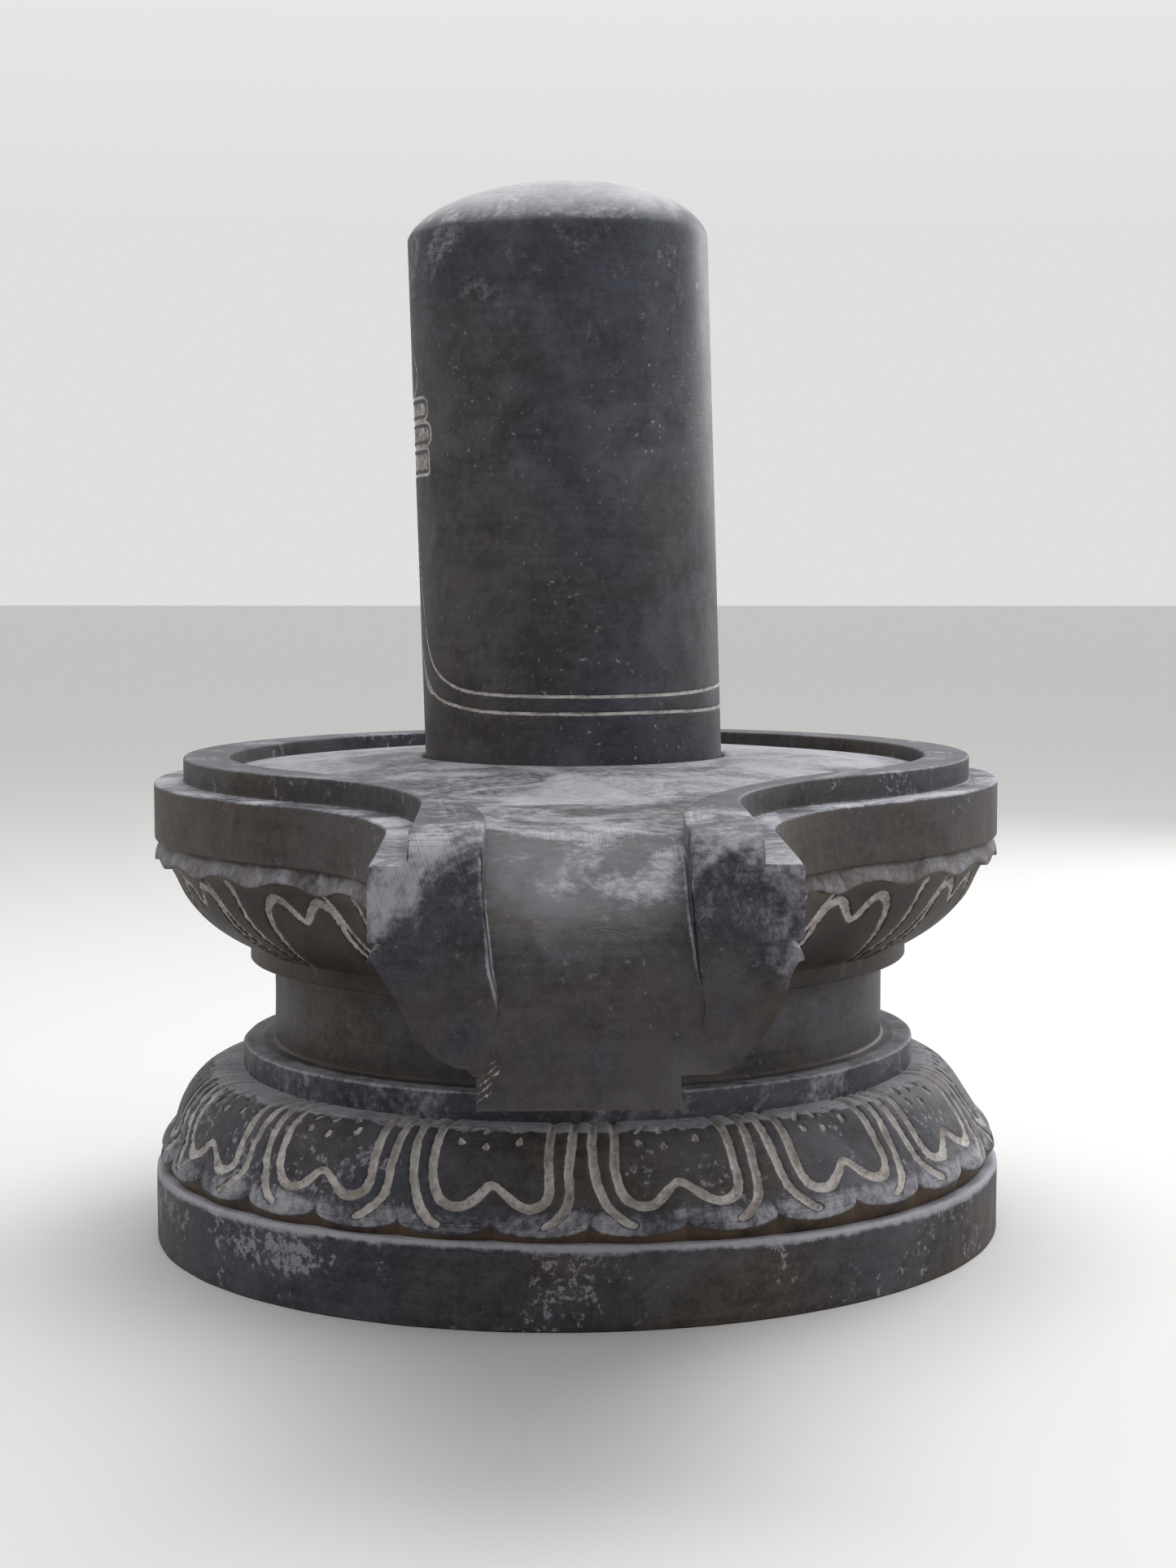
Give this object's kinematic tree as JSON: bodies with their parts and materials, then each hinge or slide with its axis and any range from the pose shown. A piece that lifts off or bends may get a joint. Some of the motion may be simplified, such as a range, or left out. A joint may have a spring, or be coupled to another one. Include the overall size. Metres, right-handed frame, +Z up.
{
  "type": "shiva lingam",
  "caption": "Dark stone lingam: a domed round shaft standing in a round pedestal with petal bands and a rimmed basin that drains through a spout.",
  "frame": {"origin": "centre of the round base plate on its flat underside", "axes": "+Z up, the spout points to -Y, +X to the right of someone who faces the spout"},
  "size_m": [0.742, 1.074, 0.9115],
  "materials": {
    "shaft_stone": "smoothed dark stone with faint streaks, light specks and a dusty dome",
    "pedestal_stone": "chiselled and rubbed dark stone with pale fresh grooves and brown dust in its recesses"
  },
  "bodies": {
    "root": {"linga_shaft": "shaft_stone", "yoni_pedestal": "pedestal_stone"}
  },
  "joints": []
}
